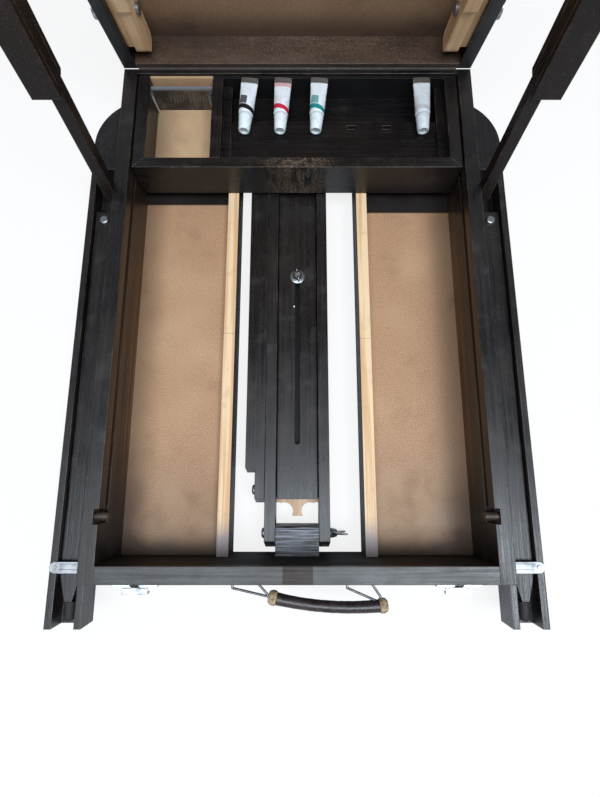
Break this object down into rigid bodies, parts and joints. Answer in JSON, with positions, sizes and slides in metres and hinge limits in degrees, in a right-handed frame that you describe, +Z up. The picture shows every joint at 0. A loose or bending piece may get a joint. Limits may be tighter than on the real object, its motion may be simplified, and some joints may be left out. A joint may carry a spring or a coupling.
{
  "type": "pochade box",
  "caption": "Black-stained wooden sketch box easel with a propped lid, a sliding paint tray and folding telescopic legs.",
  "frame": {"origin": "centre of the box's underside, at the level it rests on", "axes": "+Z up, +Y towards the lid's hinge, +X to the right seen from the handle side"},
  "size_m": [0.5046, 0.6509, 0.6377],
  "materials": {
    "black_wood": "black stain, satin, worn at the edges",
    "hardboard": "smooth tempered hardboard",
    "pale_wood": "unstained pine, matt",
    "steel": "zinc-plated steel",
    "tin": "galvanised sheet, dirty",
    "brass": "dull brass",
    "rubber": "black rubber",
    "leather": "dark brown leather",
    "tube_paper": "white printed tube",
    "cap_plastic": "white plastic"
  },
  "bodies": {
    "box": {"side_board_left": "black_wood", "side_board_right": "black_wood", "tray_stop_pegs": "black_wood", "front_rail": "black_wood", "rear_board": "black_wood", "compartment_floors": "hardboard", "bay_dividers": "pale_wood", "centre_leg_block": "black_wood", "box_hinge_leaves": "steel", "leg_pivot_nuts": "steel", "side_pivot_bolts": "steel", "centre_pivot_bolt": "steel", "handle_staples": "steel", "latch_plates": "steel"},
    "lid": {"lid_hinge_leaves": "steel", "lid_side_left": "black_wood", "lid_side_right": "black_wood", "lid_rails": "black_wood", "lid_panel": "hardboard", "holder_bases": "pale_wood", "latch_catches": "steel"},
    "tray": {"tray_front": "black_wood", "tray_walls": "black_wood", "tray_rear": "hardboard", "tray_floor": "hardboard", "tin_divider": "tin", "tube_rack": "black_wood", "paint_tubes": "tube_paper", "tube_caps": "cap_plastic"},
    "centre_leg": {"centre_leg_walls": "black_wood", "centre_leg_base": "pale_wood", "centre_leg_bolts": "steel"},
    "centre_plank": {"centre_leg_plank": "black_wood"},
    "plank_nut": {"plank_wing_nut": "steel"},
    "centre_nut": {"centre_pivot_nut": "steel"},
    "brace": {"brace_bars": "black_wood"},
    "handle": {"handle_grip": "leather", "handle_ends": "brass"},
    "holder_left": {"holder_strip_left": "pale_wood", "clamp_bolt_left": "steel"},
    "rod_left": {"stay_rod_left": "black_wood"},
    "bar_left": {"stay_bar_left": "black_wood", "stay_top_bolt_left": "steel"},
    "leg_left": {"leg_channel_left": "black_wood", "leg_strap_left": "steel"},
    "foot_left": {"leg_inner_left": "black_wood", "leg_tip_left": "rubber", "leg_lock_bolt_left": "steel"},
    "lever_left": {"latch_lever_left": "steel"},
    "holder_right": {"holder_strip_right": "pale_wood", "clamp_bolt_right": "steel"},
    "rod_right": {"stay_rod_right": "black_wood"},
    "bar_right": {"stay_bar_right": "black_wood", "stay_top_bolt_right": "steel"},
    "leg_right": {"leg_channel_right": "black_wood", "leg_strap_right": "steel"},
    "foot_right": {"leg_inner_right": "black_wood", "leg_tip_right": "rubber", "leg_lock_bolt_right": "steel"},
    "lever_right": {"latch_lever_right": "steel"}
  },
  "joints": [
    {"name": "lid_hinge", "type": "hinge", "parent": "box", "child": "lid", "pos_m": [0, 0.2804, 0.08], "axis": [1, 0, 0], "range_deg": [-4, 78]},
    {"name": "stay_pivot_left", "type": "hinge", "parent": "box", "child": "rod_left", "pos_m": [-0.2063, 0.1265, 0.0745], "axis": [1, 0, 0], "range_deg": [-6, 95]},
    {"name": "stay_slide_left", "type": "slide", "parent": "rod_left", "child": "bar_left", "axis": [0, -0.1602, -0.9871], "range_m": [-0.012, 0.165]},
    {"name": "stay_pivot_right", "type": "hinge", "parent": "box", "child": "rod_right", "pos_m": [0.2063, 0.1265, 0.0745], "axis": [1, 0, 0], "range_deg": [-6, 95]},
    {"name": "stay_slide_right", "type": "slide", "parent": "rod_right", "child": "bar_right", "axis": [0, -0.1602, -0.9871], "range_m": [-0.012, 0.165]},
    {"name": "tray_slide", "type": "slide", "parent": "box", "child": "tray", "axis": [0, -1, 0], "range_m": [0, 0.36]},
    {"name": "side_leg_pivot_left", "type": "hinge", "parent": "box", "child": "leg_left", "pos_m": [-0.2225, 0.2055, 0.041], "axis": [1, 0, 0], "range_deg": [0, 100]},
    {"name": "side_leg_slide_left", "type": "slide", "parent": "leg_left", "child": "foot_left", "axis": [0, -1, 0], "range_m": [0, 0.34]},
    {"name": "holder_slide_left", "type": "slide", "parent": "lid", "child": "holder_left", "axis": [0, -0.2079, 0.9781], "range_m": [0, 0.06]},
    {"name": "latch_pivot_left", "type": "hinge", "parent": "box", "child": "lever_left", "pos_m": [-0.152, -0.2836, 0.0635], "axis": [-1, 0, 0], "range_deg": [0, 50]},
    {"name": "side_leg_pivot_right", "type": "hinge", "parent": "box", "child": "leg_right", "pos_m": [0.2225, 0.2055, 0.041], "axis": [1, 0, 0], "range_deg": [0, 100]},
    {"name": "side_leg_slide_right", "type": "slide", "parent": "leg_right", "child": "foot_right", "axis": [0, -1, 0], "range_m": [0, 0.34]},
    {"name": "holder_slide_right", "type": "slide", "parent": "lid", "child": "holder_right", "axis": [0, -0.2079, 0.9781], "range_m": [0, 0.06]},
    {"name": "latch_pivot_right", "type": "hinge", "parent": "box", "child": "lever_right", "pos_m": [0.152, -0.2836, 0.0635], "axis": [-1, 0, 0], "range_deg": [0, 50]},
    {"name": "centre_leg_pivot", "type": "hinge", "parent": "box", "child": "centre_leg", "pos_m": [0, -0.242, 0.017], "axis": [-1, 0, 0], "range_deg": [0, 100]},
    {"name": "centre_plank_slide", "type": "slide", "parent": "centre_leg", "child": "centre_plank", "axis": [0, 1, 0], "range_m": [0, 0.19]},
    {"name": "brace_pivot", "type": "hinge", "parent": "centre_leg", "child": "brace", "pos_m": [-0.04, -0.197, 0.018], "axis": [-1, 0, 0], "range_deg": [0, 60]},
    {"name": "plank_nut_turn", "type": "hinge", "parent": "centre_leg", "child": "plank_nut", "pos_m": [0, 0.051, 0.024], "axis": [0, 0, 1], "continuous": true},
    {"name": "centre_nut_turn", "type": "hinge", "parent": "box", "child": "centre_nut", "pos_m": [0.038, -0.242, 0.017], "axis": [1, 0, 0], "continuous": true},
    {"name": "handle_swing", "type": "hinge", "parent": "box", "child": "handle", "pos_m": [0, -0.283, 0.048], "axis": [1, 0, 0], "range_deg": [-58, 58]}
  ],
  "couplings": [
    {"joint": "stay_pivot_left", "follows": "lid_hinge", "ratio": 1.2091},
    {"joint": "stay_slide_left", "follows": "lid_hinge", "m_per_rad": 0.11653},
    {"joint": "stay_pivot_right", "follows": "lid_hinge", "ratio": 1.2091},
    {"joint": "stay_slide_right", "follows": "lid_hinge", "m_per_rad": 0.11653}
  ]
}
